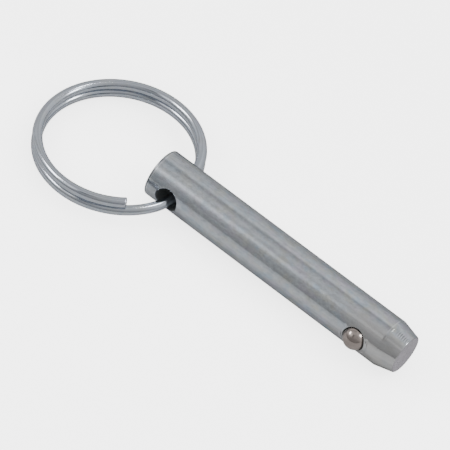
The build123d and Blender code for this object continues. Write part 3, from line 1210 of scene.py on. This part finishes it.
class HITCHPIN_OT_stage(Operator):
    """Builds the pale floor, the soft lights and the camera"""

    bl_idname = "hitch_pin.stage"
    bl_label = "Stage"

    def execute(self, context):
        settings = context.scene.hitch_pin_stage
        self.lay_floor(settings)
        self.light_room(context, settings)
        self.hang_strips(settings)
        self.place_camera(context, settings)
        return {"FINISHED"}

    def lay_floor(self, settings):
        """Pale paper, lit from below, that looks brighter than it lights the bar."""
        reach = 3.0
        mesh = bpy.data.meshes.new("floor")
        corners = [(-reach, -reach), (reach, -reach), (reach, reach), (-reach, reach)]
        mesh.from_pydata([(x, y, FLOOR_HEIGHT) for x, y in corners], [], [(0, 1, 2, 3)])
        bench = MaterialBench("pale_paper", Roughness=0.9, Emission_Color=(1, 1, 1))
        fibre = bench.grain(bench.place, 300.0)
        bench.surface(
            Base_Color=bench.blend(0.02, settings.floor, fibre, "OVERLAY"),
            Emission_Strength=self.floor_pool(bench, settings),
        )
        nearby = bench.node("ShaderNodeAmbientOcclusion", samples=8)
        openness = bench.fill(nearby, Distance=settings.shadow_reach)["AO"]
        shadow = bench.scaled(openness, settings.shadow, 1 - settings.shadow)
        glow = bench.node("ShaderNodeEmission")
        bench.fill(glow, Strength=bench.times(shadow, settings.floor_glow))
        paper = bench.shader.outputs[0]
        lifted = bench.node("ShaderNodeAddShader", paper, glow.outputs[0]).outputs[0]
        seen = bench.node("ShaderNodeLightPath").outputs["Is Camera Ray"]
        chosen = bench.node("ShaderNodeMixShader", seen, paper, lifted)
        bench.feed(bench.output.inputs[0], chosen.outputs[0])
        mesh.materials.append(bench.material)
        floor = new_object("floor", mesh)

    def floor_pool(self, bench, settings):
        """Light through the floor: strongest along the bar's near side and weakest behind it."""
        beside = bench.node("ShaderNodeSeparateXYZ", bench.place).outputs["Y"]
        away = bench.maths("ABSOLUTE", bench.maths("ADD", beside, BAR_RADIUS))
        near_reach, behind_reach, plain, swing = 0.018, 0.025, 0.9, 0.25
        level = bench.scaled(bench.ramp(away, near_reach, 0.0), swing, plain)
        level = bench.scaled(bench.ramp(beside, 0.0, behind_reach), -swing, level)
        return bench.times(level, settings.floor_light)

    def light_room(self, context, settings):
        """A sky of long softboxes beside and over the bar, which fade from one end to the other."""
        world = bpy.data.worlds.new("studio")
        context.scene.world = world
        world.use_nodes = True
        bench = NodeBench(world.node_tree)
        sky = bench.node("ShaderNodeTexCoord").outputs["Generated"]
        split = bench.node("ShaderNodeSeparateXYZ", sky).outputs
        half_turns = bench.maths("DIVIDE", bench.maths("ARCTAN2", split["Z"], split["Y"]), math.pi)
        bands = self.band_ramp(bench, half_turns, 1)
        blends = (
            (RING_LEAN, HEAD_LEAN, "SMOOTHSTEP"),
            (HEAD_LEAN, NOSE_LEAN, "LINEAR"),
            (NOSE_LEAN, TAPER_LEAN, "SMOOTHSTEP"),
        )
        for column, (start, end, shape) in enumerate(blends, 2):
            part = bench.ramp(split["X"], start, end, shape)
            bands = bench.blend(part, bands, self.band_ramp(bench, half_turns, column))
        seen = bench.node("ShaderNodeLightPath").outputs["Is Camera Ray"]
        backdrop = bench.blend(seen, bands, [settings.floor_glow] * 3)
        room = bench.node("ShaderNodeBackground", backdrop, settings.room)
        bench.node("ShaderNodeOutputWorld", room.outputs[0])

    def band_ramp(self, bench, half_turns, column):
        """The brightness of one stretch of the room, by the angle over the horizon."""
        ramp = bench.node("ShaderNodeValToRGB", half_turns)
        stops = ramp.color_ramp.elements
        stops.remove(stops[1])
        for number, band in enumerate(SOFTBOX_BANDS):
            stop = stops[0] if number == 0 else stops.new(band[0] / 180)
            stop.position = band[0] / 180
            stop.color = (*[band[column]] * 3, 1)
        return ramp.outputs[0]

    def hang_strips(self, settings):
        """Softbox strips for the bright spots on the ball and the streaks on the ring."""
        middle = Vector((STRIPS_MIDDLE_X, 0, 0))
        for name, (first, last, distance, width, bright, aim, spread) in SOFTBOX_STRIPS.items():
            ends = [middle + Vector(way).normalized() * distance for way in (first, last)]
            brightness = bright * settings.strips
            strip_light(name, ends, Vector((aim, 0, 0)), width, brightness, spread)

    def place_camera(self, context, settings):
        """The camera, at the photo's angle."""
        picture_width = 450
        data = bpy.data.cameras.new("camera")
        data.sensor_width = 36.0
        data.lens = settings.focal_pixels * data.sensor_width / picture_width
        data.clip_start, data.clip_end = 0.01, 50.0
        camera = new_object("camera", data)
        place, right = Vector(settings.camera_place), Vector(settings.camera_right)
        camera.matrix_world = standing(place, right, -Vector(settings.camera_view))
        context.scene.camera = camera


class HITCHPIN_PT_panel(Panel):
    """Lists the pieces and the stage"""

    bl_label = "Hitch Pin"
    bl_idname = "HITCHPIN_PT_panel"
    bl_space_type = "VIEW_3D"
    bl_region_type = "UI"
    bl_category = "Hitch Pin"

    def draw(self, context):
        for operator in STEPS:
            self.layout.operator(operator.bl_idname)


SETTINGS = {
    "hitch_pin_bar": BarSizes,
    "hitch_pin_ring": RingSizes,
    "hitch_pin_colours": FinishColours,
    "hitch_pin_stage": StageSettings,
}
STEPS = (HITCHPIN_OT_bar, HITCHPIN_OT_ring, HITCHPIN_OT_ball, HITCHPIN_OT_spring, HITCHPIN_OT_stage)


def register():
    for group in SETTINGS.values():
        bpy.utils.register_class(group)
    for name, group in SETTINGS.items():
        setattr(bpy.types.Scene, name, PointerProperty(type=group))
    for made in (*STEPS, HITCHPIN_PT_panel):
        bpy.utils.register_class(made)


def unregister():
    for made in (HITCHPIN_PT_panel, *reversed(STEPS)):
        bpy.utils.unregister_class(made)
    for name, group in SETTINGS.items():
        delattr(bpy.types.Scene, name)
        bpy.utils.unregister_class(group)


def main():
    register()
    bpy.ops.hitch_pin.bar()
    bpy.ops.hitch_pin.ring()
    bpy.ops.hitch_pin.ball()
    bpy.ops.hitch_pin.spring()
    bpy.ops.hitch_pin.stage()


if __name__ == "__main__":
    main()
